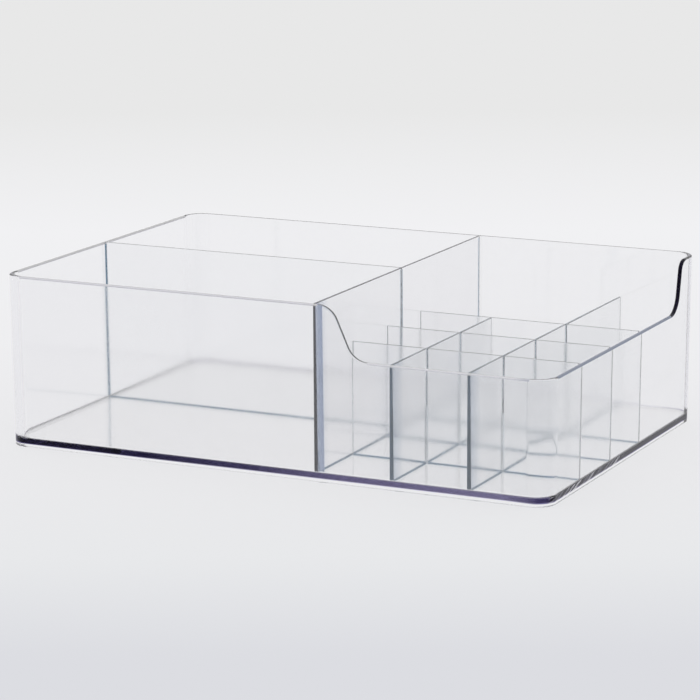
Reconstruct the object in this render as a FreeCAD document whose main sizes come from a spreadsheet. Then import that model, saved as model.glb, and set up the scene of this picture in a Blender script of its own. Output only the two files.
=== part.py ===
"""Clear vanity organizer: a moulded tray with drop-front walls and seven fitted divider panels.

Frame: millimetres, +Z up, origin at the middle of the foot rim's underside, +X to the right along
the long side, -Y towards the user.  The foot rim stands on z = 0.
"""
import FreeCAD, Part
import enum
import math
import os
import types

import Sketcher

Vector = FreeCAD.Vector

DRIVING_SIZES = [
    ("rim_width", 305.0, "outer width of the tray, measured at the rim"),
    ("rim_depth", 206.5, "outer depth of the tray, measured at the rim"),
    ("full_height", 90.5, "height of the back, left and bin walls above the table"),
    ("low_height", 63.4, "height of the low rim and of the cell dividers above the table"),
    ("lean_width", 1.0, "how far every wall leans out between the table and the full height"),
    ("wall_thickness", 2.2, "thickness of the tray's walls"),
    ("corner_radius", 11.0, "plan radius of the outer corners at the rim"),
    ("corner_fill", 2.2, "what the inner corners' radius has over that of an even wall"),
    ("floor_thickness", 2.8, "thickness of the tray's floor"),
    ("foot_height", 1.9, "height of the foot rim, the wall carried on below the floor"),
    ("foot_round", 0.6, "rounding of the edges on which the tray stands"),
    ("cells_width", 123.6, "from the partition's middle to the inside of the right wall, at the rim"),
    ("column_pitch", 41.4, "spacing of the long dividers, counted from the partition"),
    ("row_pitch", 41.15, "spacing of the cross dividers, counted from the front wall"),
    ("panel_foot", 2.1, "thickness of every panel where it stands on the floor"),
    ("panel_top", 1.4, "thickness of every panel at its top edge"),
    ("panel_round", 0.4, "rounding of the panels' top edges"),
    ("bond_gap", 0.1, "glue line between a panel and what it meets"),
    ("slot_relief", 0.3, "free height between two halved panels at a crossing"),
    ("front_drop_start", 2.2, "start of the front wall's drop, right of the partition's middle"),
    ("front_drop_run", 27.0, "length over which the front wall drops"),
    ("front_drop_radius", 11.5, "radius of both bends of the front drop"),
    ("side_drop_back", 18.9, "full-height stretch of the right wall, from the back rim"),
    ("side_drop_run", 19.6, "length over which the right wall drops"),
    ("side_drop_crest", 6.5, "radius of the upper bend of the side drop"),
    ("side_drop_valley", 11.0, "radius of the lower bend of the side drop"),
    ("overrun", 5.0, "how far a cutting shape stands past what it cuts"),
]
CELL_ROWS = 3
CELL_COLUMNS = 3
# The rim's rounding as a share of the wall, a little under the half that would make it fully round.
RIM_ROUND_SHARE = 0.45
SHAPE_TOLERANCE = 1e-6


class Spot(enum.IntEnum):
    """Sketcher's numbers for the named points of a line or an arc."""

    START = 1
    END = 2
    CENTRE = 3


class SketchOrigin(enum.IntEnum):
    """Sketcher's numbers for the origin of a sketch: its geometry and that geometry's point."""

    AXIS = -1
    POINT = 1


class Formula:
    """A length known both as a sheet formula, which binds a constraint, and as its present value."""

    def __init__(self, text, value):
        self.text = text
        self.value = value

    @staticmethod
    def of(item):
        return item if isinstance(item, Formula) else Formula(str(item), item)

    def __add__(self, other):
        other = Formula.of(other)
        return Formula(f"({self.text} + {other.text})", self.value + other.value)

    def __sub__(self, other):
        other = Formula.of(other)
        return Formula(f"({self.text} - {other.text})", self.value - other.value)

    def __rsub__(self, other):
        return Formula.of(other) - self

    def __mul__(self, other):
        other = Formula.of(other)
        return Formula(f"({self.text} * {other.text})", self.value * other.value)

    __rmul__ = __mul__

    def __truediv__(self, other):
        other = Formula.of(other)
        return Formula(f"({self.text} / {other.text})", self.value / other.value)

    def __neg__(self):
        return Formula(f"(-{self.text})", -self.value)


doc = FreeCAD.newDocument("vanity_organizer")
sheet = doc.addObject("Spreadsheet::Sheet", "sizes")
for line, (alias, number, meaning) in enumerate(DRIVING_SIZES, start=1):
    sheet.set(f"A{line}", str(number))
    sheet.setAlias(f"A{line}", alias)
    sheet.set(f"B{line}", meaning)
doc.recompute()
size = types.SimpleNamespace(
    **{alias: Formula(f"sizes.{alias}", float(sheet.get(alias))) for alias, _, _ in DRIVING_SIZES}
)

NONE = Formula("0", 0.0)

# Heights that several pieces share.
TABLE = NONE
FLOOR_TOP = size.foot_height + size.floor_thickness


def lean_in(height):
    """How far the outside of a wall stands inside the rim's outline at a height."""
    return size.lean_width * (1 - height / size.full_height)


def outer_half(span, height):
    return span / 2 - lean_in(height)


def inner_half(span, height):
    return outer_half(span, height) - size.wall_thickness


def panel_half(height, top):
    """Half a panel's thickness at a height: it tapers from panel_foot on the floor to panel_top."""
    rise = (height - FLOOR_TOP) / (top - FLOOR_TOP)
    return (size.panel_foot - (size.panel_foot - size.panel_top) * rise) / 2


def column(number):
    """Middle of a long divider; column 0 is the partition."""
    partition = inner_half(size.rim_width, size.full_height) - size.cells_width
    return partition + number * size.column_pitch


def row(number):
    """Middle of a cross divider; row 0 is the front wall's inner face at the rim."""
    return size.wall_thickness + number * size.row_pitch - size.rim_depth / 2


def set_formula(item, name, formula):
    item.setExpression(name, formula.text)


def new_sketch(body, name, role, offset):
    """A sketch on one of the body's origin planes, moved along that plane's normal."""
    sketch = body.newObject("Sketcher::SketchObject", name)
    plane = next(item for item in body.Origin.OriginFeatures if item.Role == role)
    sketch.AttachmentSupport = (plane, [""])
    sketch.MapMode = "FlatFace"
    sketch.AttachmentOffset = FreeCAD.Placement(Vector(0, 0, offset.value), FreeCAD.Rotation())
    set_formula(sketch, "AttachmentOffset.Base.z", offset)
    return sketch


def measure(sketch, kind, geometry, point, formula):
    """Holds one coordinate of a sketch point, measured from the sketch's origin."""
    index = sketch.addConstraint(
        Sketcher.Constraint(kind, SketchOrigin.AXIS, SketchOrigin.POINT, geometry, point, formula.value)
    )
    set_formula(sketch, f"Constraints[{index}]", formula)


def pin(sketch, geometry, point, x, y):
    measure(sketch, "DistanceX", geometry, point, x)
    measure(sketch, "DistanceY", geometry, point, y)


def add_line(sketch, start, end):
    return sketch.addGeometry(Part.LineSegment(Vector(*start, 0), Vector(*end, 0)), False)


def add_arc(sketch, centre, radius, first_angle, last_angle):
    """An arc, counter-clockwise, with its centre and radius held by formulas."""
    x, y = centre
    circle = Part.Circle(Vector(x.value, y.value, 0), Vector(0, 0, 1), radius.value)
    arc = sketch.addGeometry(Part.ArcOfCircle(circle, first_angle, last_angle), False)
    pin(sketch, arc, Spot.CENTRE, x, y)
    index = sketch.addConstraint(Sketcher.Constraint("Radius", arc, radius.value))
    set_formula(sketch, f"Constraints[{index}]", radius)
    return arc


def tie(sketch, kind, first, first_point, second, second_point):
    sketch.addConstraint(Sketcher.Constraint(kind, first, first_point, second, second_point))


def draw_polygon(sketch, points):
    """A closed outline of straight lines through points given as formulas."""
    corners = [(x.value, y.value) for x, y in points]
    lines = [
        add_line(sketch, corner, corners[(index + 1) % len(corners)])
        for index, corner in enumerate(corners)
    ]
    for index, (x, y) in enumerate(points):
        tie(sketch, "Coincident", lines[index - 1], Spot.END, lines[index], Spot.START)
        pin(sketch, lines[index], Spot.START, x, y)


def draw_rounded_rectangle(sketch, half_x, half_y, radius):
    """A rectangle about the origin whose four corners are arcs, tangent to its sides."""
    quarter = math.pi / 2
    signs = ((1, 1), (-1, 1), (-1, -1), (1, -1))
    arcs = []
    for index, (sign_x, sign_y) in enumerate(signs):
        centre = (sign_x * (half_x - radius), sign_y * (half_y - radius))
        arcs.append(add_arc(sketch, centre, radius, index * quarter, (index + 1) * quarter))
    for index, arc in enumerate(arcs):
        following = arcs[(index + 1) % len(arcs)]
        leaving = sketch.Geometry[arc].EndPoint
        arriving = sketch.Geometry[following].StartPoint
        side = add_line(sketch, (leaving.x, leaving.y), (arriving.x, arriving.y))
        tie(sketch, "Tangent", arc, Spot.END, side, Spot.START)
        tie(sketch, "Tangent", side, Spot.END, following, Spot.START)


def draw_drop(sketch, start, run, far, crest, valley, toward):
    """The outline that is cut away over a wall that drops from the full height to the low rim.

    The wall's edge leaves the rim at start, rounds a crest, falls along a straight line, rounds a
    valley and reaches the low rim after run; far is the outline's other end.  toward is 1 where the
    wall drops along +x of the sketch and -1 where it drops along -x.
    """
    finish = start + toward * run
    crest_centre = (start, size.full_height - crest)
    valley_centre = (finish, size.low_height + valley)
    # The straight line crosses between the two circles: its normal meets both radii.
    across = valley_centre[0].value - crest_centre[0].value
    down = valley_centre[1].value - crest_centre[1].value
    reach = (crest.value + valley.value) / math.hypot(across, down)
    normal = math.atan2(down, across) + toward * math.acos(reach)
    up = math.pi / 2
    opposite = normal + math.pi
    low = 3 * up
    if toward > 0:
        crest_arc = add_arc(sketch, crest_centre, crest, normal, up)
        valley_arc = add_arc(sketch, valley_centre, valley, opposite, low)
        crest_rim, crest_line, valley_line, valley_rim = Spot.END, Spot.START, Spot.START, Spot.END
    else:
        crest_arc = add_arc(sketch, crest_centre, crest, up, normal)
        valley_arc = add_arc(sketch, valley_centre, valley, low, opposite)
        crest_rim, crest_line, valley_line, valley_rim = Spot.START, Spot.END, Spot.END, Spot.START
    measure(sketch, "DistanceX", crest_arc, crest_rim, start)
    measure(sketch, "DistanceX", valley_arc, valley_rim, finish)

    def arc_end(arc, point):
        place = sketch.getPoint(arc, point)
        return place.x, place.y

    above = size.full_height + size.overrun
    fall = add_line(sketch, arc_end(crest_arc, crest_line), arc_end(valley_arc, valley_line))
    tie(sketch, "Tangent", crest_arc, crest_line, fall, Spot.START)
    tie(sketch, "Tangent", fall, Spot.END, valley_arc, valley_line)
    bottom = add_line(sketch, (finish.value, size.low_height.value), (far.value, size.low_height.value))
    outside = add_line(sketch, (far.value, size.low_height.value), (far.value, above.value))
    top = add_line(sketch, (far.value, above.value), (start.value, above.value))
    inside = add_line(sketch, (start.value, above.value), (start.value, size.full_height.value))
    tie(sketch, "Coincident", valley_arc, valley_rim, bottom, Spot.START)
    tie(sketch, "Coincident", bottom, Spot.END, outside, Spot.START)
    tie(sketch, "Coincident", outside, Spot.END, top, Spot.START)
    tie(sketch, "Coincident", top, Spot.END, inside, Spot.START)
    tie(sketch, "Coincident", inside, Spot.END, crest_arc, crest_rim)
    for level in (bottom, top):
        sketch.addConstraint(Sketcher.Constraint("Horizontal", level))
    for upright in (outside, inside):
        sketch.addConstraint(Sketcher.Constraint("Vertical", upright))
    measure(sketch, "DistanceX", outside, Spot.START, far)
    measure(sketch, "DistanceY", outside, Spot.END, above)


def add_loft(body, kind, name, lower, upper):
    """A ruled loft between two sketches; kind is AdditiveLoft or SubtractiveLoft."""
    loft = body.newObject(f"PartDesign::{kind}", name)
    loft.Profile = (lower, [""])
    loft.Sections = [(upper, [""])]
    loft.Ruled = True
    doc.recompute()
    return loft


def add_pocket(body, name, sketch, depth, side_type, reverse):
    """A pocket whose cut is proved by the volume that it takes away."""
    before = body.Shape.Volume
    pocket = body.newObject("PartDesign::Pocket", name)
    pocket.Profile = (sketch, [""])
    pocket.SideType = side_type
    pocket.Reversed = reverse
    pocket.Length = depth.value
    set_formula(pocket, "Length", depth)
    doc.recompute()
    if not body.Shape.Volume < before - SHAPE_TOLERANCE:
        raise RuntimeError(f"{name} cuts nothing")
    return pocket


def add_fillet(body, name, base, chosen, radius):
    """Rounds the edges of a feature that the function chosen(shape, edge) picks by their place."""
    fillet = body.newObject("PartDesign::Fillet", name)
    numbered = enumerate(base.Shape.Edges, start=1)
    fillet.Base = (base, [f"Edge{number}" for number, edge in numbered if chosen(base.Shape, edge)])
    fillet.Radius = radius.value
    set_formula(fillet, "Radius", radius)
    doc.recompute()
    return fillet


def new_body(name):
    body = doc.addObject("PartDesign::Body", name)
    body.Label = name
    return body


def outline_sketch(body, name, height, inset=NONE, fill=NONE):
    """The tray's rounded outline at a height, drawn in by an inset, with corners filled to more radius."""
    sketch = new_sketch(body, name, "XY_Plane", height)
    draw_rounded_rectangle(
        sketch,
        outer_half(size.rim_width, height) - inset,
        outer_half(size.rim_depth, height) - inset,
        size.corner_radius - lean_in(height) - inset + fill,
    )
    return sketch


def inner_sketch(body, name, height):
    """The outline of the walls' inside at a height."""
    return outline_sketch(body, name, height, size.wall_thickness, size.corner_fill)


def on_rim(shape, edge):
    """True for the two edge loops of the rim: edges that a rim face shares with a wall face."""
    if edge.BoundBox.ZMin < size.low_height.value - SHAPE_TOLERANCE:
        return False
    faces = shape.ancestorsOfType(edge, Part.Face)
    return sum(face.BoundBox.ZMin > size.low_height.value - SHAPE_TOLERANCE for face in faces) == 1


def on_foot(shape, edge):
    """True for the edges on which the foot rim stands."""
    return edge.BoundBox.ZMax < SHAPE_TOLERANCE


def make_tray():
    """One moulding: leaning walls with round corners, a floor, a foot rim and two dropped edges."""
    body = new_body("tray")
    outside_foot = outline_sketch(body, "outside_foot", TABLE)
    outside_rim = outline_sketch(body, "outside_rim", size.full_height)
    add_loft(body, "AdditiveLoft", "outside", outside_foot, outside_rim)
    inside_floor = inner_sketch(body, "inside_floor", FLOOR_TOP)
    inside_rim = inner_sketch(body, "inside_rim", size.full_height)
    add_loft(body, "SubtractiveLoft", "inside", inside_floor, inside_rim)
    under_floor = inner_sketch(body, "under_floor", TABLE)
    add_pocket(body, "recess", under_floor, size.foot_height, "One side", True)

    # The front wall drops to the right of the partition and carries on, low, round the corner.
    corner_reach = size.corner_radius + size.corner_fill + size.wall_thickness
    front = new_sketch(body, "front_drop_outline", "XZ_Plane", size.rim_depth / 2 - corner_reach)
    draw_drop(
        front,
        column(0) + size.front_drop_start,
        size.front_drop_run,
        size.rim_width / 2 + size.overrun,
        size.front_drop_radius,
        size.front_drop_radius,
        1,
    )
    add_pocket(body, "front_drop", front, corner_reach + size.overrun, "One side", True)

    # The right wall is low from the front corner and climbs again just before the back corner.
    side = new_sketch(body, "side_drop_outline", "YZ_Plane", size.rim_width / 2 - corner_reach)
    draw_drop(
        side,
        size.rim_depth / 2 - size.side_drop_back,
        size.side_drop_run,
        -(size.rim_depth / 2 + size.overrun),
        size.side_drop_crest,
        size.side_drop_valley,
        -1,
    )
    side_drop = add_pocket(body, "side_drop", side, corner_reach + size.overrun, "One side", True)
    rim_radius = size.wall_thickness * RIM_ROUND_SHARE
    rim_round = add_fillet(body, "rim_round", side_drop, on_rim, rim_radius)
    add_fillet(body, "foot_round", rim_round, on_foot, size.foot_round)
    return body


def spread(middle, half):
    return middle - half, middle + half


class Panel:
    """A panel that stands on the floor, tapers to its top and runs along x or y between two ends.

    near(height) and far(height) give the places of the panel's ends, which follow what they meet.
    """

    def __init__(self, name, along, middle, top, near, far):
        self.name = name
        self.middle = middle
        self.top = top
        self.body = new_body(name)
        # Each plane's first axis is the direction seen in it; the XZ plane's normal points to -y.
        if along == "x":
            self.side_role, self.side_offset, section_role, sign = "XZ_Plane", -middle, "YZ_Plane", 1
        else:
            self.side_role, self.side_offset, section_role, sign = "YZ_Plane", middle, "XZ_Plane", -1
        self.add_sheet(section_role, sign, near, far)
        self.round_top("xy".index(along))
        self.trim_ends(near, far)

    def add_sheet(self, section_role, sign, near, far):
        """The tapered section, carried along the panel to a little past both ends."""
        centre = (near(self.top) + far(self.top)) / 2
        section = new_sketch(self.body, f"{self.name}_section", section_role, sign * centre)
        foot_left, foot_right = spread(self.middle, panel_half(FLOOR_TOP, self.top))
        top_left, top_right = spread(self.middle, panel_half(self.top, self.top))
        draw_polygon(
            section,
            [
                (foot_left, FLOOR_TOP),
                (foot_right, FLOOR_TOP),
                (top_right, self.top),
                (top_left, self.top),
            ],
        )
        self.sheet = self.body.newObject("PartDesign::Pad", f"{self.name}_sheet")
        self.sheet.Profile = (section, [""])
        self.sheet.SideType = "Symmetric"
        length = far(self.top) - near(self.top) + size.overrun
        self.sheet.Length = length.value
        set_formula(self.sheet, "Length", length)
        doc.recompute()

    def round_top(self, axis):
        """Rounds the two long edges of the top."""

        def long_top_edge(shape, edge):
            direction = edge.Vertexes[-1].Point - edge.Vertexes[0].Point
            on_top = edge.BoundBox.ZMin > self.top.value - SHAPE_TOLERANCE
            return on_top and abs(direction[axis]) > size.panel_foot.value

        add_fillet(self.body, f"{self.name}_round", self.sheet, long_top_edge, size.panel_round)

    def side_sketch(self, purpose):
        """A sketch in the panel's middle plane: its length to the right, +Z up."""
        return new_sketch(self.body, f"{self.name}_{purpose}", self.side_role, self.side_offset)

    def cut(self, purpose, sketch):
        """Cuts a side sketch through the panel's thickness."""
        depth = size.panel_foot + size.overrun
        return add_pocket(self.body, f"{self.name}_{purpose}_cut", sketch, depth, "Symmetric", False)

    def trim_ends(self, near, far):
        low = FLOOR_TOP - size.overrun
        high = self.top + size.overrun
        before = near(self.top) - 2 * size.overrun
        after = far(self.top) + 2 * size.overrun
        ends = self.side_sketch("ends")
        draw_polygon(ends, [(before, low), (near(low), low), (near(high), high), (before, high)])
        draw_polygon(ends, [(far(low), low), (after, low), (after, high), (far(high), high)])
        self.cut("ends", ends)

    def add_slots(self, outline, pitch, count):
        """Cuts a slot and repeats it along the panel."""
        sketch = self.side_sketch("slot")
        draw_polygon(sketch, outline)
        slot = self.cut("slot", sketch)
        pattern = self.body.newObject("PartDesign::LinearPattern", f"{self.name}_slots")
        pattern.Originals = [slot]
        pattern.Direction = (sketch, ["H_Axis"])
        length = pitch * (count - 1)
        pattern.Length = length.value
        set_formula(pattern, "Length", length)
        pattern.Occurrences = count
        self.body.Tip = pattern
        doc.recompute()


def front_wall(height):
    return size.bond_gap - inner_half(size.rim_depth, height)


def back_wall(height):
    return inner_half(size.rim_depth, height) - size.bond_gap


def left_wall(height):
    return size.bond_gap - inner_half(size.rim_width, height)


def right_wall(height):
    return inner_half(size.rim_width, height) - size.bond_gap


def partition_left(height):
    return column(0) - panel_half(height, size.full_height) - size.bond_gap


def partition_right(height):
    return column(0) + panel_half(height, size.full_height) + size.bond_gap


def last_row_back(height):
    """The rear face of the last cross divider, where the inner long divider ends flush."""
    return row(CELL_ROWS) + panel_half(height, size.low_height)


# Crossing panels are halved: a long divider is slotted from its top and a cross divider from its foot.
HALVING_HEIGHT = (FLOOR_TOP + size.low_height) / 2


def make_long_divider(name, number, far):
    """Low panel from the front wall backwards, slotted from its top for every cross divider."""
    panel = Panel(name, "y", column(number), size.low_height, front_wall, far)
    # The slot is as wide as the cross divider where the two halves meet, so that it can be lowered in.
    near, away = spread(row(1), panel_half(HALVING_HEIGHT, size.low_height) + size.bond_gap)
    low = HALVING_HEIGHT - size.slot_relief / 2
    high = size.low_height + size.overrun
    panel.add_slots([(near, low), (away, low), (away, high), (near, high)], size.row_pitch, CELL_ROWS)
    return panel.body


def make_cross_divider(name, number):
    """Low panel from the partition to the right wall, slotted from its foot for every long divider."""
    panel = Panel(name, "x", row(number), size.low_height, partition_right, right_wall)
    # The slot widens towards the foot as the long divider does.
    low = FLOOR_TOP - size.overrun
    high = HALVING_HEIGHT + size.slot_relief / 2
    foot_left, foot_right = spread(column(1), panel_half(low, size.low_height) + size.bond_gap)
    head_left, head_right = spread(column(1), panel_half(high, size.low_height) + size.bond_gap)
    outline = [(foot_left, low), (foot_right, low), (head_right, high), (head_left, high)]
    panel.add_slots(outline, size.column_pitch, CELL_COLUMNS - 1)
    return panel.body


pieces = [
    make_tray(),
    Panel("partition", "y", column(0), size.full_height, front_wall, back_wall).body,
    Panel("bin_divider", "x", NONE, size.full_height, left_wall, partition_left).body,
    make_long_divider("inner_long_divider", 1, last_row_back),
    make_long_divider("outer_long_divider", 2, back_wall),
    make_cross_divider("front_cross_divider", 1),
    make_cross_divider("middle_cross_divider", 2),
    make_cross_divider("rear_cross_divider", 3),
]
doc.recompute()

for item in doc.Objects:
    if "Invalid" in item.State or "Error" in item.State:
        raise RuntimeError(f"{item.Label} did not recompute: {item.State}")
for piece in pieces:
    if piece.Shape.isNull() or not piece.Shape.isValid() or len(piece.Shape.Solids) != 1:
        raise RuntimeError(f"{piece.Label} is not one valid solid")

os.makedirs("parts", exist_ok=True)
for piece in pieces:
    piece.Shape.exportStep(f"parts/{piece.Label}.step")
    box = piece.Shape.optimalBoundingBox(True, False)
    spans = " x ".join(f"{span:.2f}" for span in (box.XLength, box.YLength, box.ZLength))
    print(f"{piece.Label}: {piece.Shape.Volume:.0f} mm3, {spans} mm")
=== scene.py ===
# %% [markdown]
# # A clear vanity organizer
# This lesson dresses a finished CAD model for rendering.  The organizer is one moulded tray with
# leaning walls and seven thin panels that divide it into bins and cells, all in clear plastic.
# Clear plastic hides nothing: what the eye reads is every edge.  So each piece is rebuilt here as a
# smooth closed surface with rounded edges, exactly where its CAD node is.

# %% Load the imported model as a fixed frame
import math

import bpy
import numpy as np
from mathutils import Matrix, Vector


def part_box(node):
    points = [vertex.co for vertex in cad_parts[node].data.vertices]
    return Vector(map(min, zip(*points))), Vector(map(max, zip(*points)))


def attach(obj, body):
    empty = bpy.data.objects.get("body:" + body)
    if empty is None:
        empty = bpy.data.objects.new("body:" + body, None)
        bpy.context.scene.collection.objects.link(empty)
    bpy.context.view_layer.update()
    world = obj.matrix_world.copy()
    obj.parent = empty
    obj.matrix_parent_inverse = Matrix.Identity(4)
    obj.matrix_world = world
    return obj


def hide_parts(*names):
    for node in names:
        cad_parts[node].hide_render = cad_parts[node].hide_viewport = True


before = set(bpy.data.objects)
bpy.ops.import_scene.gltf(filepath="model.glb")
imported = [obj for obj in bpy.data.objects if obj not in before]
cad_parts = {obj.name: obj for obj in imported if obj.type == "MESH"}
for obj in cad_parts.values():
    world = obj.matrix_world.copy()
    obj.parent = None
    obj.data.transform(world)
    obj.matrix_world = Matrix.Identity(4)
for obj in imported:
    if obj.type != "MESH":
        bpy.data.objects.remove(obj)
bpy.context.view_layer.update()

MM = 0.001

# %% [markdown]
# ## Sizes
# The large sizes are read from the frame, so that the surfaces follow the CAD model.  The small ones,
# which a box can't show, are the CAD model's own driving sizes.

# %% Sizes of the tray and its panels
partition_low, partition_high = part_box("partition")
RIM_HALF_X, RIM_HALF_Y, FULL_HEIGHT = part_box("tray")[1]
LOW_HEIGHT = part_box("rear_cross_divider")[1].z
FLOOR_TOP = partition_low.z
PANEL_FOOT = partition_high.x - partition_low.x
WALL = 2.2 * MM
LEAN = 1.0 * MM
CORNER_RADIUS = 11.0 * MM
FOOT_HEIGHT = 1.9 * MM
RIM_ROUND = 0.45 * WALL
EDGE_ROUND = 0.6 * MM
INNER_CORNER = 11.0 * MM
FLOOR_ROUND = 0.7 * MM
PANEL_TOP = 1.4 * MM
PANEL_ROUND = 0.3 * MM
BOND_GAP = 0.1 * MM
FOOT_GAP = 0.05 * MM
print("floor top, low rim and full height in mm:", FLOOR_TOP / MM, LOW_HEIGHT / MM, FULL_HEIGHT / MM)

# %% [markdown]
# ## From arrays to meshes
# Every shape here is closed: a band of quads that runs round a loop, with a flat cap on each side.
# The band is an array of rows by stations, so its faces are index arithmetic on the whole array.
# The Weighted Normal modifier then gives each vertex the normal of its largest face, which keeps the
# walls optically flat beside their tiny rounded edges.  In clear plastic a bent normal would show.

# %% One closed band as points and faces
def band_faces(rows, first=0):
    """Faces of a closed band whose points are shaped (rows, stations, 3), numbered from first.

    Row r and station s make a quad with row r + 1 and station s + 1.  The first and the last row are
    each filled with one flat polygon.  The signed volume tells whether the faces point outwards.
    """
    row_count, station_count = rows.shape[:2]
    index = np.arange(row_count * station_count).reshape(row_count, station_count)
    beside = np.roll(index, -1, axis=1)
    quads = np.stack([index[:-1], beside[:-1], beside[1:], index[1:]], axis=-1).reshape(-1, 4)
    points = rows.reshape(-1, 3) - rows.mean(axis=(0, 1))
    one, two, three, four = (points[quads[:, side]] for side in range(4))
    ends = [index[0][::-1], index[-1]]
    fans = [np.sum(points[end[0]] * np.cross(points[end[1:-1]], points[end[2:]])) for end in ends]
    volume = np.sum(one * (np.cross(two, three) + np.cross(three, four))) + sum(fans)
    turn = 1 if volume > 0 else -1
    return [(first + face[::turn]).tolist() for face in [*quads, *ends]]


# %% One function that makes a piece
SHARP_ANGLE = 40.0


def add_piece(name, node, plate, beads=(), roots=()):
    """A piece from one closed band and the beads and roots on it, in its materials 0, 1 and 2."""
    bands = [plate, *beads, *roots]
    faces = []
    count = 0
    for rows in bands:
        faces.append(band_faces(rows, count))
        count += rows.size // 3
    mesh = bpy.data.meshes.new(name)
    points = np.concatenate([rows.reshape(-1, 3) for rows in bands])
    mesh.from_pydata(points, [], [face for group in faces for face in group])
    numbers = np.repeat([0, 1, 2], [1, len(beads), len(roots)])
    slots = np.repeat(numbers, [len(group) for group in faces])
    mesh.polygons.foreach_set("material_index", slots.astype(np.int32))
    mesh.shade_smooth()
    mesh.set_sharp_from_angle(angle=math.radians(SHARP_ANGLE))
    piece = bpy.data.objects.new(name, mesh)
    bpy.context.scene.collection.objects.link(piece)
    piece.modifiers.new("flat walls stay flat", "WEIGHTED_NORMAL").keep_sharp = True
    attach(piece, "root")
    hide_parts(node)
    print(f"{name}: {len(mesh.vertices)} vertices, {len(mesh.polygons)} faces, {len(beads)} beads")
    return piece


# %% [markdown]
# ## The rim of the tray
# In plan the rim is a rounded rectangle, and its height changes on the way round.  The front wall
# drops in an S-curve beside the partition and stays low round the right corner, and the right wall
# climbs in a steeper S-curve just before the back corner.  Each S-curve is two arcs and the straight
# line that touches both, which is how such an edge is drawn for a mould.  A sine wave would be
# shorter to write, but it has no straight run between its bends.

# %% The S-curve of a dropped edge
BEND_STEPS = 24


def s_drop(run, crest, valley):
    """Points (distance along the wall, height) from the full height to the low rim, and their normals.

    The crest's centre lies one crest radius under the full height and the valley's centre one valley
    radius over the low rim.  The line that crosses between both circles is square to the angle turn.
    """
    crest_centre = np.array([0.0, FULL_HEIGHT - crest])
    valley_centre = np.array([run, LOW_HEIGHT + valley])
    across, down = valley_centre - crest_centre
    turn = math.atan2(down, across) + math.acos((crest + valley) / math.hypot(across, down))
    angle = np.linspace(math.pi / 2, turn, BEND_STEPS)
    crest_normal = np.stack([np.cos(angle), np.sin(angle)], axis=-1)
    valley_normal = crest_normal[::-1]
    points = [crest_centre + crest * crest_normal, valley_centre - valley * valley_normal]
    return np.concatenate(points), np.concatenate([crest_normal, valley_normal])


PARTITION_X = (partition_low.x + partition_high.x) / 2
FRONT_DROP_START = PARTITION_X + 2.2 * MM
SIDE_DROP_START = RIM_HALF_Y - 18.9 * MM
front_points, front_normals = s_drop(run=27.0 * MM, crest=11.5 * MM, valley=11.5 * MM)
side_points, side_normals = s_drop(run=19.6 * MM, crest=6.5 * MM, valley=11.0 * MM)
print(f"the front drop falls {np.ptp(front_points[:, 1]) / MM:.1f} mm, in {len(front_points)} stations")

# %% Stations round the rim
CORNER_STEPS = 28


def stretch(places, facing, height, along=0.0, up=1.0):
    """Stations as rows of x, y, outward normal, rim height, and the rim edge's normal along and up."""
    count = len(places)
    facing = np.broadcast_to(facing, (count, 2))
    edge = np.stack([np.broadcast_to(value, count) for value in (height, along, up)], axis=-1)
    return np.hstack([places, facing, edge])


def corner(side_x, side_y, first_turn, height, inset, radius):
    """A quarter circle about the corner's centre, starting first_turn quarter turns from +X."""
    angle = (first_turn + np.linspace(0, 1, CORNER_STEPS + 1)) * math.pi / 2
    facing = np.stack([np.cos(angle), np.sin(angle)], axis=-1)
    reach_x, reach_y = RIM_HALF_X - inset - radius, RIM_HALF_Y - inset - radius
    return stretch(np.array([side_x * reach_x, side_y * reach_y]) + radius * facing, facing, height)


def outline_stations(inset, radius):
    """The rounded rectangle that lies inset inside the rim, from the left front corner round."""
    front_x = FRONT_DROP_START + front_points[:, 0]
    front_drop = stretch(
        np.stack([front_x, np.full_like(front_x, inset - RIM_HALF_Y)], axis=-1),
        (0, -1), front_points[:, 1], front_normals[:, 0], front_normals[:, 1],
    )
    side_y = SIDE_DROP_START - side_points[:, 0]
    side_climb = stretch(
        np.stack([np.full_like(side_y, RIM_HALF_X - inset), side_y], axis=-1),
        (1, 0), side_points[:, 1], -side_normals[:, 0], side_normals[:, 1],
    )[::-1]
    return np.concatenate([
        corner(-1, -1, 2, FULL_HEIGHT, inset, radius),
        front_drop,
        corner(1, -1, 3, LOW_HEIGHT, inset, radius),
        side_climb,
        corner(1, 1, 0, FULL_HEIGHT, inset, radius),
        corner(-1, 1, 1, FULL_HEIGHT, inset, radius),
    ])


outer = outline_stations(0.0, CORNER_RADIUS)
inner = outline_stations(WALL, INNER_CORNER)
print("stations round the rim:", len(outer))

# %% [markdown]
# ## The tray
# The wall's section is carried along those stations: up the inside of the foot rim, round its two
# edges, up the leaning outside, over the rounded rim, and down the inside to the floor.  A solid box
# hollowed with booleans would need its edges rounded afterwards, and the S-curves make that fragile.

# %% The tray as one section carried round the rim
ROUND_STEPS = 6
arc = np.linspace(0, math.pi / 2, ROUND_STEPS + 1)
aside, below = 1 - np.cos(arc), 1 - np.sin(arc)


def lean_in(height):
    """Walls lean out steadily: at a height, a wall stands this far inside the rim's outline."""
    return LEAN * (1 - height / FULL_HEIGHT)


def wall_row(stations, depth, height, shift=0.0):
    """A row of points at a depth behind the stations and at a height, shifted along the wall."""
    x, y, facing_x, facing_y = stations[:, :4].T
    inset = lean_in(height) + depth
    return np.stack([
        x - facing_x * inset - facing_y * shift,
        y - facing_y * inset + facing_x * shift,
        np.broadcast_to(height, x.shape),
    ], axis=-1)


def rim_row(stations, depth, drop):
    """A row of points at a depth behind the stations, drop below the rim, square to its edge."""
    rim_height, edge_along, edge_up = stations[:, 4:].T
    return wall_row(stations, depth, rim_height - edge_up * drop, -edge_along * drop)


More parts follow.
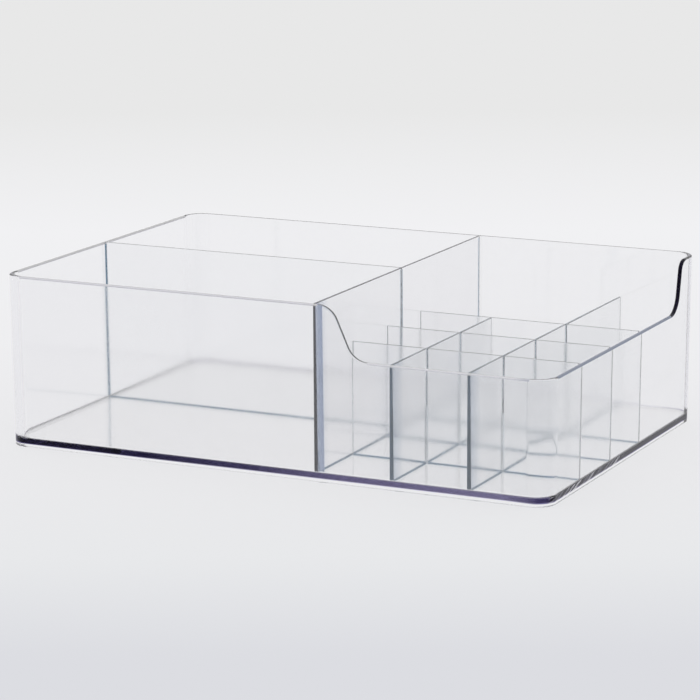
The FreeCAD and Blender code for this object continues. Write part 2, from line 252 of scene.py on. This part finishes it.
quarter = np.stack([aside, below], axis=-1)
foot_edge, rim_edge, bend = EDGE_ROUND * quarter, RIM_ROUND * quarter, FLOOR_ROUND * quarter
section = [wall_row(inner, 0.0, FOOT_HEIGHT)]
section += [wall_row(inner, -depth, height) for depth, height in foot_edge]
section += [wall_row(outer, depth, height) for depth, height in foot_edge[::-1]]
section += [wall_row(outer, 0.0, height) for height in (FOOT_HEIGHT, FLOOR_TOP)]
section += [rim_row(outer, depth, drop) for depth, drop in rim_edge]
section += [rim_row(inner, -depth, drop) for depth, drop in rim_edge[::-1]]
section += [wall_row(inner, depth, FLOOR_TOP + height) for depth, height in bend]
tray = add_piece("tray_moulding", "tray", np.stack(section))

# %% [markdown]
# ## Edges with painted light and shade
# On a clear tray the edges stand out and the walls nearly vanish.  From outside the eye looks into the
# floor edge-on, and along the right wall where its rim climbs, and both look dark; here that dark is
# painted shade on their faces.  The straight rims of the front, right and left walls and the floor's bend
# at the left catch a little light, which is painted light here: a paler, less clear surface.  Separate
# strips could carry this painted light and shade, but the tray is one moulding, so its own faces take
# three materials by their row and station.

# %% Faces for clear plastic, painted shade and painted light
PAINTED_EDGE_SHADE, PAINTED_EDGE_LIGHT = 1, 2
edge_row = 2 * len(foot_edge) + 1
rim_rows = slice(edge_row + 2, edge_row + 1 + 2 * len(rim_edge))
climb_start = 2 * (CORNER_STEPS + 1) + len(front_points)
straight_rims = [CORNER_STEPS, CORNER_STEPS + len(front_points), climb_start - 1, -1]
slots = np.zeros((len(section) - 1, len(outer)), dtype=np.int32)
# The floor's edge and the rim's climb take painted shade; the straight rims and the left bend take painted
# light.
slots[edge_row] = PAINTED_EDGE_SHADE
slots[rim_rows, straight_rims] = PAINTED_EDGE_LIGHT
slots[1 - len(bend):, [*range(CORNER_STEPS), -1]] = PAINTED_EDGE_LIGHT
slots[rim_rows, climb_start:climb_start + len(side_points) - 1] = PAINTED_EDGE_SHADE
tray.data.polygons.foreach_set("material_index", np.append(slots, [0, 0]).astype(np.int32))
print("faces seen end-on:", int(np.sum(slots == PAINTED_EDGE_SHADE)))

# %% [markdown]
# ## The panels
# Each panel is a thin plate that tapers towards its top, as moulded plates do so that they leave the
# mould.  Its outline in side view is a polygon, with slots where it is halved with another panel.  Its
# rim is a rounded band carried along that outline, and its two faces are flat polygons.

# %% A plate with rounded edges from its outline
def panel_half(height, top):
    """Half a panel's thickness, which falls steadily from the floor to the panel's top."""
    return (PANEL_FOOT - (PANEL_FOOT - PANEL_TOP) * (height - FLOOR_TOP) / (top - FLOOR_TOP)) / 2


def inset_loop(points, distance):
    """A closed outline drawn in: each corner moves inwards square to both edges that meet in it."""
    edge = np.roll(points, -1, axis=0) - points
    edge /= np.linalg.norm(edge, axis=1, keepdims=True)
    inward = np.stack([-edge[:, 1], edge[:, 0]], axis=-1)
    before = np.roll(inward, 1, axis=0)
    return points + distance * (inward + before) / (1 + np.sum(inward * before, axis=1, keepdims=True))


def add_panel(name, node, along, middle, top, outline, beads, roots=()):
    """A plate along axis 0 or 1 whose outline holds (place along the plate, height) points."""
    rows = []
    turns = np.concatenate([arc, arc[::-1]])
    sides = np.repeat([1, -1], len(arc))
    for turn, side in zip(turns, sides):
        loop = inset_loop(np.array(outline), PANEL_ROUND * (1 - math.sin(turn)))
        row = np.empty((len(loop), 3))
        row[:, along] = loop[:, 0]
        half = panel_half(loop[:, 1], top) - PANEL_ROUND * (1 - math.cos(turn))
        row[:, 1 - along] = middle + side * half
        row[:, 2] = loop[:, 1]
        rows.append(row)
    return add_piece(name, node, np.stack(rows), beads, roots)


# %% Where the panels meet the walls and each other
PANEL_BASE = FLOOR_TOP + FOOT_GAP


def wall_face(half, height):
    """A wall's inner face at a height: the rim's half size less the lean there and the wall."""
    return half - lean_in(height) - WALL


def partition_face(side, height):
    """The partition's face on one side: its middle plus half its thickness at that height."""
    return PARTITION_X + side * panel_half(height, FULL_HEIGHT)


def wall_end(half, side, top):
    """A panel's end at a wall, from the foot up: a quarter round clear of the floor's bend, and the top."""
    height = FLOOR_TOP + FLOOR_ROUND
    reach = FLOOR_ROUND - BOND_GAP
    angle = np.linspace(0, math.pi / 2, ROUND_STEPS)
    places = wall_face(half, height) - FLOOR_ROUND + reach * np.sin(angle)
    heights = height - (height - PANEL_BASE) * np.cos(angle)
    places = np.append(places, wall_face(half, top) - BOND_GAP)
    return np.stack([side * places, np.append(heights, top)], axis=-1)


def partition_end(side, top):
    """A panel's end at the partition, from the foot up."""
    return [(partition_face(side, height) + side * BOND_GAP, height) for height in (PANEL_BASE, top)]


def front_face(height):
    """The front wall's inner face, on the -Y side."""
    return -wall_face(RIM_HALF_Y, height)


def back_face(height):
    """The back wall's inner face, on the +Y side."""
    return wall_face(RIM_HALF_Y, height)


def left_face(height):
    """The left wall's inner face, on the -X side."""
    return -wall_face(RIM_HALF_X, height)


def right_face(height):
    """The right wall's inner face, on the +X side."""
    return wall_face(RIM_HALF_X, height)


def partition_left(height):
    """The partition's face on the bins' side."""
    return partition_face(-1, height)


print("clear width between the side walls at the floor in mm:", 2 * right_face(FLOOR_TOP) / MM)

# %% [markdown]
# ## Cemented joints
# The panels are cemented in.  The cement draws into the corner and sets as a fine hollow bead along
# the foot and the ends of each panel, as a thin film between a long divider's front end and the wall,
# and as a broad wedge, a root, at the partition's front end.  All of them bend light so sharply that
# they show as blue lines, and these lines are what the eye sees of the joints.  They could be painted
# on the panels, but then they would not catch the light, so each is a profile carried along its corner,
# and its blue is painted shade on the profile's surface.

# %% A bead of cement along a corner
BEAD = 0.45 * MM
BEAD_GAP = 0.04 * MM
BEAD_STEPS = 6
FILM_SPAN = (0.2, 0.8)
bead_turn = np.linspace(0, math.pi / 2, BEAD_STEPS)
hollow = 1 - np.stack([np.sin(bead_turn), np.cos(bead_turn)], axis=-1)
slope = np.array([[1.0, 0.0], [0.0, 1.0]])


def bead(start, end, out, away, leg=BEAD, front=hollow):
    """The profile of a corner and the front that faces it, carried from start to end.

    The profile's legs point out from the panel's face and away from what the panel stands against.
    """
    profile = np.vstack([np.zeros((1, 2)), front]) * leg + BEAD_GAP
    section = profile @ np.array([out, away])
    return np.stack([np.array(start) + section, np.array(end) + section])


def point_on(along, place, across, height):
    """A point with its place on the panel's own axis, 0 or 1, and the other on the axis across it."""
    return (place, across, height) if along == 0 else (across, place, height)


def foot_beads(along, middle, side, places):
    """Beads along a panel's foot, on the side given, from each place to the next but one."""
    across = middle + side * PANEL_FOOT / 2
    out = point_on(along, 0, side, 0)
    corners = [point_on(along, place, across, FLOOR_TOP) for place in places]
    return [bead(start, end, out, (0, 0, 1)) for start, end in zip(corners[0::2], corners[1::2])]


def end_bead(along, middle, top, face, away, side, leg=BEAD, front=hollow):
    """An upright bead at a panel's end: face gives its place at a height, away points off the wall."""
    heights = (FLOOR_TOP + FLOOR_ROUND, top - RIM_ROUND)
    low, high = (
        point_on(along, face(height), middle + side * panel_half(height, top), height)
        for height in heights
    )
    return bead(low, high, point_on(along, 0, side, 0), point_on(along, away, 0, 0), leg, front)


def end_film(middle, top):
    """A film between a divider's front end and the wall: as wide as the divider, within the gap."""
    rows = []
    for height in (FLOOR_TOP + FLOOR_ROUND, top - RIM_ROUND):
        half = panel_half(height, top)
        near, far = (front_face(height) + share * BOND_GAP for share in FILM_SPAN)
        corners = [(-half, near), (half, near), (half, far), (-half, far)]
        rows.append([(middle + across, depth, height) for across, depth in corners])
    return np.array(rows)


# %% [markdown]
# ## The two tall panels
# The partition runs from the front wall to the back wall, and the bin divider from the left wall to the
# partition.  Both are plates of full height without slots, so one outline each is enough.  The beads
# along a foot stop short wherever another panel stands, because there is no room for them.

# %% The partition and the bin divider
def middle_of(node, axis):
    """The middle of a node's box along an axis."""
    low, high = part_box(node)
    return (low[axis] + high[axis]) / 2


rows_y = [middle_of(f"{row}_cross_divider", 1) for row in ("front", "middle", "rear")]
columns_x = [middle_of(f"{column}_long_divider", 0) for column in ("inner", "outer")]
BIN_Y = 0.0
JOINT_CLEARANCE = 0.2 * MM
JOINT_ROOM = PANEL_FOOT / 2 + BEAD + JOINT_CLEARANCE
FRONT_ROOT = 3.6 * MM


def broken(start, joints, end):
    """Places where a foot's beads start and end, leaving room for the panels that join it."""
    return [start, *(place + room for place in joints for room in (-JOINT_ROOM, JOINT_ROOM)), end]


foot_front = front_face(FLOOR_TOP) + FLOOR_ROUND
foot_back = back_face(FLOOR_TOP) - FLOOR_ROUND
foot_left = left_face(FLOOR_TOP) + FLOOR_ROUND
foot_right = right_face(FLOOR_TOP) - FLOOR_ROUND
partition_beads = [
    *foot_beads(1, PARTITION_X, -1, broken(foot_front, [BIN_Y], foot_back)),
    *foot_beads(1, PARTITION_X, 1, broken(foot_front, rows_y, foot_back)),
    end_bead(1, PARTITION_X, FULL_HEIGHT, back_face, -1, -1),
]
partition_roots = [end_bead(1, PARTITION_X, FULL_HEIGHT, front_face, 1, 1, FRONT_ROOT, slope)]
partition_outline = np.vstack([
    wall_end(RIM_HALF_Y, -1, FULL_HEIGHT)[::-1],
    wall_end(RIM_HALF_Y, 1, FULL_HEIGHT),
])
bin_end = partition_face(-1, FLOOR_TOP) - BEAD - 2 * BEAD_GAP
bin_beads = [
    *foot_beads(0, BIN_Y, -1, [foot_left, bin_end]),
    *foot_beads(0, BIN_Y, 1, [foot_left, bin_end]),
    *(end_bead(0, BIN_Y, FULL_HEIGHT, left_face, 1, side) for side in (-1, 1)),
    *(end_bead(0, BIN_Y, FULL_HEIGHT, partition_left, -1, side) for side in (-1, 1)),
]
bin_outline = np.vstack([wall_end(RIM_HALF_X, -1, FULL_HEIGHT)[::-1], partition_end(-1, FULL_HEIGHT)])
panels = [
    add_panel(
        "partition_panel", "partition", 1, PARTITION_X, FULL_HEIGHT,
        partition_outline, partition_beads, partition_roots,
    ),
    add_panel("bin_panel", "bin_divider", 0, BIN_Y, FULL_HEIGHT, bin_outline, bin_beads),
]

# %% [markdown]
# ## The grid of cells
# The low dividers are halved into each other like the card in a bottle crate: a long divider is
# slotted from its top, a cross divider from its foot, and each slot ends at half the height.  Whole
# plates that pass through each other would look the same from afar, but not at the crossings.

# %% Slots of the low dividers
SLOT_RELIEF = 0.3 * MM
HALVING = (FLOOR_TOP + LOW_HEIGHT) / 2


def top_slot(place):
    """Corners of a straight slot from the top, met from the right: it takes a panel's upper half."""
    half = panel_half(HALVING, LOW_HEIGHT) + BOND_GAP
    base = HALVING - SLOT_RELIEF / 2
    left, right = place - half, place + half
    return [(right, LOW_HEIGHT), (right, base), (left, base), (left, LOW_HEIGHT)]


def foot_slot(place):
    """Corners of a slot from the foot, met from the left: it widens downwards with the panel in it."""
    high = HALVING + SLOT_RELIEF / 2
    low_half = panel_half(PANEL_BASE, LOW_HEIGHT) + BOND_GAP
    high_half = panel_half(high, LOW_HEIGHT) + BOND_GAP
    left, right = [(place - low_half, PANEL_BASE), (place - high_half, high)], [(place + high_half, high)]
    return left + right + [(place + low_half, PANEL_BASE)]


# %% The long dividers
# The inner divider ends flush with the rear cross divider, so its last slot is open to the back.
tongue = [
    (rows_y[-1] + panel_half(height, LOW_HEIGHT), height)
    for height in (PANEL_BASE, HALVING - SLOT_RELIEF / 2)
]
inner_outline = np.vstack([
    wall_end(RIM_HALF_Y, -1, LOW_HEIGHT)[::-1],
    tongue,
    top_slot(rows_y[-1])[2:],
    *(top_slot(place) for place in rows_y[-2::-1]),
])
outer_outline = np.vstack([
    wall_end(RIM_HALF_Y, -1, LOW_HEIGHT)[::-1],
    wall_end(RIM_HALF_Y, 1, LOW_HEIGHT),
    *(top_slot(place) for place in rows_y[::-1]),
])
outer_places = broken(foot_front, rows_y, foot_back)
inner_places = outer_places[:-2]
inner_x, outer_x = columns_x
inner_beads = [
    *foot_beads(1, inner_x, -1, inner_places),
    *foot_beads(1, inner_x, 1, inner_places),
]
outer_beads = [
    *foot_beads(1, outer_x, -1, outer_places),
    *foot_beads(1, outer_x, 1, outer_places),
]
inner_film, outer_film = (end_film(middle, LOW_HEIGHT) for middle in columns_x)
panels += [
    add_panel(
        "inner_long_panel", "inner_long_divider", 1, inner_x, LOW_HEIGHT,
        inner_outline, inner_beads, [inner_film],
    ),
    add_panel(
        "outer_long_panel", "outer_long_divider", 1, outer_x, LOW_HEIGHT,
        outer_outline, outer_beads, [outer_film],
    ),
]

# %% The cross dividers
cross_outline = np.vstack([
    partition_end(1, LOW_HEIGHT)[::-1],
    *(foot_slot(place) for place in columns_x),
    wall_end(RIM_HALF_X, 1, LOW_HEIGHT),
])
cross_start = partition_face(1, FLOOR_TOP) + BEAD + 2 * BEAD_GAP
cross_places = broken(cross_start, columns_x, foot_right)
for row, place in zip(("front", "middle", "rear"), rows_y):
    cross_beads = [
        *foot_beads(0, place, -1, cross_places),
        *foot_beads(0, place, 1, cross_places),
    ]
    name = f"{row}_cross_panel"
    panels.append(add_panel(name, f"{row}_cross_divider", 0, place, LOW_HEIGHT, cross_outline, cross_beads))
print("panels:", [panel.name for panel in panels])

# %% [markdown]
# ## Clear plastic
# The organizer is injection-moulded clear styrene: glossy from a polished mould, with a refractive
# index near 1.57.  A few millimetres of it look colourless, but along the sheet, from edge to edge,
# light runs through 200 mm and more, and the edges turn dark blue-violet.  A tinted surface colour
# can't do that, so the tint is a volume absorption inside closed walls of real thickness.

# %% Colours and nodes
def linear(hex_colour):
    """An sRGB hex colour as the linear RGBA that shaders take."""
    srgb = np.array([int(hex_colour[i:i + 2], 16) for i in (1, 3, 5)]) / 255
    rgb = np.where(srgb <= 0.04045, srgb / 12.92, ((srgb + 0.055) / 1.055) ** 2.4)
    return (*rgb.tolist(), 1.0)


def add_node(tree, kind, inputs=(), **settings):
    """Adds a node; an input that is given a socket is linked to it, any other input is set."""
    node = tree.nodes.new(kind)
    for key, value in settings.items():
        setattr(node, key, value)
    for key, value in dict(inputs).items():
        if isinstance(value, bpy.types.NodeSocket):
            tree.links.new(value, node.inputs[key])
        else:
            node.inputs[key].default_value = value
    return node


def set_tones(ramp, tones):
    """Sets a ramp's stops from rising (place, hex colour) tones: each lies at its share of the range."""
    start, end = tones[0][0], tones[-1][0]
    stops = ramp.color_ramp.elements
    for place, _ in tones[1:-1]:
        stops.new((place - start) / (end - start))
    for stop, (_, tone) in zip(stops, tones):
        stop.color = linear(tone)


def new_material(name):
    """A material and its empty node tree."""
    material = bpy.data.materials.new(name)
    material.use_nodes = True
    material.node_tree.nodes.clear()
    return material, material.node_tree


# %% Moulded clear styrene
# The eye looks through it to what lies behind.  The noise varies the polish that the mould gave it, so
# that what lies behind several walls looks soft.
VIOLET = "#3f0090"
STEEL_BLUE = "#0095c4"
STYRENE_IOR = 1.57
HAZE_SIZE = 18 * MM


def add_styrene(name, density, tint, polish, mirror="#ffffff", clear=1.0):
    """Clear styrene: a tint of some density inside, and a roughness that varies between two values."""
    material, tree = new_material(name)
    place = add_node(tree, "ShaderNodeTexCoord").outputs["Object"]
    haze = add_node(tree, "ShaderNodeTexNoise", {"Vector": place, "Scale": 1 / HAZE_SIZE, "Detail": 3.0})
    rough = add_node(tree, "ShaderNodeMapRange", {
        "Value": haze.outputs["Fac"],
        "To Min": polish[0],
        "To Max": polish[1],
    })
    surface = add_node(tree, "ShaderNodeBsdfPrincipled", {
        "Base Color": linear("#ffffff"),
        "Roughness": rough.outputs["Result"],
        "IOR": STYRENE_IOR,
        "Transmission Weight": clear,
        "Specular Tint": linear(mirror),
    })
    inside = add_node(tree, "ShaderNodeVolumeAbsorption", {"Color": linear(tint), "Density": density})
    add_node(tree, "ShaderNodeOutputMaterial", {
        "Surface": surface.outputs["BSDF"],
        "Volume": inside.outputs["Volume"],
    })
    return material


# The tray's walls and floor: clear, with a deep shine.
tray_plastic = add_styrene("moulded_tray_styrene", 6.5, VIOLET, (0.03, 0.08))
# The straight rims and the floor's bend at the left: painted light, a half-clear surface that shows as light
# grey lines, with painted shade added below at the rims' right end.
rim_painted_light_and_shade = add_styrene("styrene_rim_painted_light_and_shade", 6.5, VIOLET, (0.03, 0.08), clear=0.5)
# The floor's edge and the climb of the right rim: painted shade, a nearly black violet, and a dark violet
# tint on what they mirror, a painted darker reflection; painted dashes of light are added below.
edge_shade_and_glints = add_styrene("styrene_painted_edge_shade_and_glints", 6.5, VIOLET, (0.03, 0.08), mirror="#6c6490")
# The partition: a deeper violet, because the eye looks along it.
partition_plastic = add_styrene("moulded_partition_styrene", 14.0, VIOLET, (0.06, 0.12))
# The other panels: steel blue in their depth, and a softer polish than the tray's.
divider_plastic = add_styrene("moulded_divider_styrene", 7.0, STEEL_BLUE, (0.07, 0.13))
styrenes = [tray_plastic, rim_painted_light_and_shade, edge_shade_and_glints, partition_plastic, divider_plastic]
print("kinds of styrene:", len(styrenes))

# %% [markdown]
# ## Painted light and shade along the edges
# Seen end-on, plastic doesn't look equally dark all along: the light that reaches the eye through the
# floor's edge, a rim or the front end of a panel depends on what lies behind it and on surroundings that
# aren't known.  A lamp for each could be tried.  Here the surfaces carry tones that were chosen one by one.
# Every tone set below is painted light or painted shade.

# %% Tones along an axis
PAINTED_SHADE_REACH = 12 * MM


def tone_along(material, axis, tones):
    """Gives a surface rising (place, hex colour) tones along an axis, blended in straight steps."""
    tree = material.node_tree
    place = tree.nodes["Texture Coordinate"].outputs["Object"]
    along = add_node(tree, "ShaderNodeSeparateXYZ", {"Vector": place}).outputs[axis]
    part = add_node(tree, "ShaderNodeMapRange", {
        "Value": along,
        "From Min": tones[0][0],
        "From Max": tones[-1][0],
    })
    ramp = add_node(tree, "ShaderNodeValToRGB", {"Fac": part.outputs["Result"]})
    set_tones(ramp, tones)
    tree.links.new(ramp.outputs["Color"], tree.nodes["Principled BSDF"].inputs["Base Color"])


# Painted shade on the panels: a blue-grey tone at the front wall that fades to white within a short reach.
painted_shade_near_wall = [(foot_front, "#d4dbe4"), (foot_front + PAINTED_SHADE_REACH, "#ffffff")]
tone_along(divider_plastic, "Y", painted_shade_near_wall)
# The partition's front end also gets a dark violet tone: painted shade where it is seen end-on.
tone_along(partition_plastic, "Y", [
    (foot_front - 2.0 * MM, "#8a80b0"),
    (foot_front - 0.4 * MM, "#8a80b0"),
    *painted_shade_near_wall,
])
# Painted shade on the rims: white along most of their length, a darker blue-grey at the right end.
tone_along(rim_painted_light_and_shade, "X", [
    (-RIM_HALF_X, "#ffffff"),
    (RIM_HALF_X - 20 * MM, "#ffffff"),
    (RIM_HALF_X, "#98a4bc"),
])
# Painted shade and light along the floor's edge: nearly black at the left, paler towards the middle and the
# right, and dark again at the right end.
tone_along(edge_shade_and_glints, "X", [
    (-RIM_HALF_X, "#272248"),
    (-70 * MM, "#272248"),
    (-12 * MM, "#b0abc6"),
    (RIM_HALF_X - 24 * MM, "#e8e5f5"),
    (RIM_HALF_X - 7 * MM, "#4a4470"),
    (RIM_HALF_X, "#4a4470"),
])
print("the panels' tones fade over", PAINTED_SHADE_REACH / MM, "mm from the front wall")

# %% Painted dashes of light in the right edge of the floor
# Beside the cells the painted dark edge is broken into slanted dashes of painted light, painted glints.
# A noise along the edge decides where the surface is painted lighter and less clear.
DASH = 6.0 * MM
DASH_SLANT = 3.0
PAINTED_GLINT_LIGHT = 0.6
tree = edge_shade_and_glints.node_tree
surface = tree.nodes["Principled BSDF"]
place = tree.nodes["Texture Coordinate"].outputs["Object"]
axes = add_node(tree, "ShaderNodeSeparateXYZ", {"Vector": place}).outputs
at_right = add_node(tree, "ShaderNodeMapRange", {
    "Value": axes["X"],
    "From Min": RIM_HALF_X - 3 * MM,
    "From Max": RIM_HALF_X - 1.5 * MM,
})
beside_cells = add_node(tree, "ShaderNodeMapRange", {
    "Value": axes["Y"],
    "From Min": -12 * MM,
    "From Max": 6 * MM,
    "To Min": at_right.outputs["Result"],
    "To Max": 0.0,
})
slanted = add_node(tree, "ShaderNodeMath", {
    0: axes["Z"],
    1: -DASH_SLANT,
    2: axes["Y"],
}, operation="MULTIPLY_ADD")
noise = add_node(tree, "ShaderNodeTexNoise", {
    "W": slanted.outputs[0],
    "Scale": 1 / DASH,
    "Detail": 0.0,
}, noise_dimensions="1D")
dash = add_node(tree, "ShaderNodeMapRange", {
    "Value": noise.outputs["Fac"],
    "From Min": 0.44,
    "From Max": 0.66,
    "To Min": 0.0,
    "To Max": PAINTED_GLINT_LIGHT,
})
painted_glint = add_node(tree, "ShaderNodeMath", {
    0: dash.outputs["Result"],
    1: beside_cells.outputs["Result"],
}, operation="MULTIPLY").outputs[0]
tone = surface.inputs["Base Color"].links[0].from_socket
painted_glint_tone = add_node(tree, "ShaderNodeMix", {0: painted_glint, 6: tone, 7: linear("#ffffff")}, data_type="RGBA")
clear = add_node(tree, "ShaderNodeMath", {0: 1.0, 1: painted_glint}, operation="SUBTRACT")
tree.links.new(painted_glint_tone.outputs[2], surface.inputs["Base Color"])
tree.links.new(clear.outputs[0], surface.inputs["Transmission Weight"])
print("dashes are about", DASH / MM, "mm long")

# %% [markdown]
# ## Set cement
# Cement for styrene dries clear, but with ripples, and the lines that it leaves look blue because of how
# they bend light.  It could share the panels' plastic, but its beads are too thin for a tint inside them
# to show, so that blue is painted on its surface as a tone, painted shade, and a noise as coarse as the
# ripples varies its shine.

# %% Set cement
CEMENT_IOR = 1.52
RIPPLE_SIZE = 4 * MM
CEMENT_POLISH = (0.02, 0.1)


def add_cement(name, tone, clear):
    """Set cement: a painted tone, painted shade on the light that passes it, and one less clear is the share
    it scatters.
    """
    material, tree = new_material(name)
    place = add_node(tree, "ShaderNodeTexCoord").outputs["Object"]
    ripple = add_node(tree, "ShaderNodeTexNoise", {"Vector": place, "Scale": 1 / RIPPLE_SIZE})
    rough = add_node(tree, "ShaderNodeMapRange", {
        "Value": ripple.outputs["Fac"],
        "To Min": CEMENT_POLISH[0],
        "To Max": CEMENT_POLISH[1],
    })
    surface = add_node(tree, "ShaderNodeBsdfPrincipled", {
        "Base Color": linear(tone),
        "Roughness": rough.outputs["Result"],
        "IOR": CEMENT_IOR,
        "Transmission Weight": clear,
    })
    add_node(tree, "ShaderNodeOutputMaterial", {"Surface": surface.outputs["BSDF"]})
    return material


# Beads: fine blue lines, their blue painted shade.
bead_cement = add_cement("set_cement_bead", "#8fa6b8", 1.0)
# Films: a stripe of even blue-grey painted shade as wide as the divider.
film_cement = add_cement("set_cement_film", "#869db2", 0.6)
# The partition's root: a broad pale stripe of painted shade beside its dark end.
root_cement = add_cement("set_cement_root", "#c2cadb", 1.0)
for material in (tray_plastic, edge_shade_and_glints, rim_painted_light_and_shade):
    tray.data.materials.append(material)
partition, *dividers = panels
for material in (partition_plastic, bead_cement, root_cement):
    partition.data.materials.append(material)
for divider in dividers:
    for material in (divider_plastic, bead_cement, film_cement):
        divider.data.materials.append(material)
print("clear plastic on", len(panels) + 1, "pieces, cement on", len(panels))

# %% [markdown]
# ## Studio
# The organizer stands on a pale sweep of card in soft light from all round, as in a light tent.  For
# clear plastic the card matters more than the lamps, because the eye sees the card through every wall.
# So whatever looks at the floor, straight or through the plastic, mostly sees the card's own
# brightness.  The rest of what it sees is ordinary matt paint, which keeps the organizer's faint shadow.

# %% Rays that see the card's brightness
def looks_at_card(tree, share=1.0):
    """The share for camera rays, one for mirrored and refracted rays, zero for those that gather light."""
    path = add_node(tree, "ShaderNodeLightPath").outputs
    straight = add_node(tree, "ShaderNodeMath", {0: path["Is Camera Ray"], 1: share}, operation="MULTIPLY")
    mirrored = add_node(tree, "ShaderNodeMath", {0: straight.outputs[0], 1: path["Is Glossy Ray"]})
    seen = add_node(tree, "ShaderNodeMath", {
        0: mirrored.outputs[0],
        1: path["Is Transmission Ray"],
    }, use_clamp=True)
    return seen.outputs[0]


# %% Floor
FLOOR_RADIUS = 40.0
FLOOR_LEVEL = -0.1 * MM
SPOKES = 64
ring = np.array([0.3, 0.6, 1.2, 2.5, 5.0, 10.0, 20.0, FLOOR_RADIUS])
spoke = np.linspace(0, 2 * math.pi, SPOKES, endpoint=False)
floor_points = np.stack([
    np.outer(ring, np.cos(spoke)),
    np.outer(ring, np.sin(spoke)),
    np.full((len(ring), SPOKES), FLOOR_LEVEL),
], axis=-1)
index = np.arange(floor_points.size // 3).reshape(len(ring), SPOKES)
beside = np.roll(index, -1, axis=1)
floor_faces = np.stack([index[:-1], index[1:], beside[1:], beside[:-1]], axis=-1).reshape(-1, 4).tolist()
floor_mesh = bpy.data.meshes.new("floor")
floor_mesh.from_pydata(floor_points.reshape(-1, 3), [], floor_faces + [index[0].tolist()])
floor = bpy.data.objects.new("floor", floor_mesh)
bpy.context.scene.collection.objects.link(floor)
print("floor faces:", len(floor_mesh.polygons))

# %% Matt card
# The card's tones are painted light and shade: it is brightest just behind the organizer and falls off
# gently before it and behind it, with a dimmer band before it.
VIEW_TURN = 25.833
CARD_REACH = 2.5
CARD_SHARE = 0.88
PAINTED_CARD_LIGHT = [
    (-CARD_REACH, "#e8e8e8"), (-0.9, "#dcdde2"), (-0.38, "#dcdde2"), (-0.24, "#e8e9eb"), (-0.1, "#ebebed"),
    (0.25, "#efeff1"), (0.6, "#f1f1f3"), (1.2, "#e8e8e8"), (CARD_REACH, "#e8e8e8"),
]
card, tree = new_material("matt_card")
card.cycles.emission_sampling = "NONE"
place = add_node(tree, "ShaderNodeTexCoord").outputs["Object"]
turned = add_node(tree, "ShaderNodeMapping", {"Vector": place, "Rotation": (0, 0, math.radians(-VIEW_TURN))})
depth = add_node(tree, "ShaderNodeSeparateXYZ", {"Vector": turned.outputs["Vector"]}).outputs["Y"]
part = add_node(tree, "ShaderNodeMapRange", {
    "Value": depth,
    "From Min": -CARD_REACH,
    "From Max": CARD_REACH,
})
ramp = add_node(tree, "ShaderNodeValToRGB", {"Fac": part.outputs["Result"]})
set_tones(ramp, PAINTED_CARD_LIGHT)
tone = ramp.outputs["Color"]
paint = add_node(tree, "ShaderNodeBsdfPrincipled", {
    "Base Color": tone,
    "Roughness": 0.9,
    "Specular IOR Level": 0.0,
})
glow = add_node(tree, "ShaderNodeEmission", {"Color": tone})
mixed = add_node(tree, "ShaderNodeMixShader", {
    "Fac": looks_at_card(tree, CARD_SHARE),
    1: paint.outputs["BSDF"],
    2: glow.outputs["Emission"],
})
add_node(tree, "ShaderNodeOutputMaterial", {"Surface": mixed.outputs["Shader"]})
floor_mesh.materials.append(card)
print("card tones:", len(PAINTED_CARD_LIGHT))

# %% World
world = bpy.data.worlds.new("studio")
bpy.context.scene.world = world
world.use_nodes = True
tree = world.node_tree
tree.nodes.clear()
light = add_node(tree, "ShaderNodeBackground", {"Color": linear("#ffffff"), "Strength": 1.0})
backdrop = add_node(tree, "ShaderNodeBackground", {"Color": linear("#e8e8e8"), "Strength": 1.0})
mixed = add_node(tree, "ShaderNodeMixShader", {
    "Fac": looks_at_card(tree),
    1: light.outputs["Background"],
    2: backdrop.outputs["Background"],
})
add_node(tree, "ShaderNodeOutputWorld", {"Surface": mixed.outputs["Shader"]})
print("world:", world.name)

# %% [markdown]
# ## Camera
# A long lens from a few steps away keeps the uprights nearly parallel.  A Track To constraint would aim
# it with less code, but it can't hold a slight roll, so place, turn, pitch and roll make one matrix.

# %% Camera
camera_data = bpy.data.cameras.new("camera")
camera_data.sensor_width = 36.0
camera_data.lens = 160.48
camera_data.clip_end = 200.0
camera = bpy.data.objects.new("camera", camera_data)
bpy.context.scene.collection.objects.link(camera)
CAMERA_PLACE = (0.6959, -1.4439, 0.3980)
PITCH, ROLL = 12.447, -0.2686
camera.matrix_world = (
    Matrix.Translation(CAMERA_PLACE)
    @ Matrix.Rotation(math.radians(VIEW_TURN), 4, "Z")
    @ Matrix.Rotation(math.radians(90 - PITCH), 4, "X")
    @ Matrix.Rotation(math.radians(ROLL), 4, "Z")
)
bpy.context.scene.camera = camera
print("lens in mm:", round(camera_data.lens, 2))

# %% Colours as they are written, and light paths through many walls
bpy.context.scene.view_settings.view_transform = "Standard"
cycles = bpy.context.scene.cycles
cycles.max_bounces = 32
cycles.transmission_bounces = 32
cycles.glossy_bounces = 16
print("light bounces at most:", cycles.max_bounces)
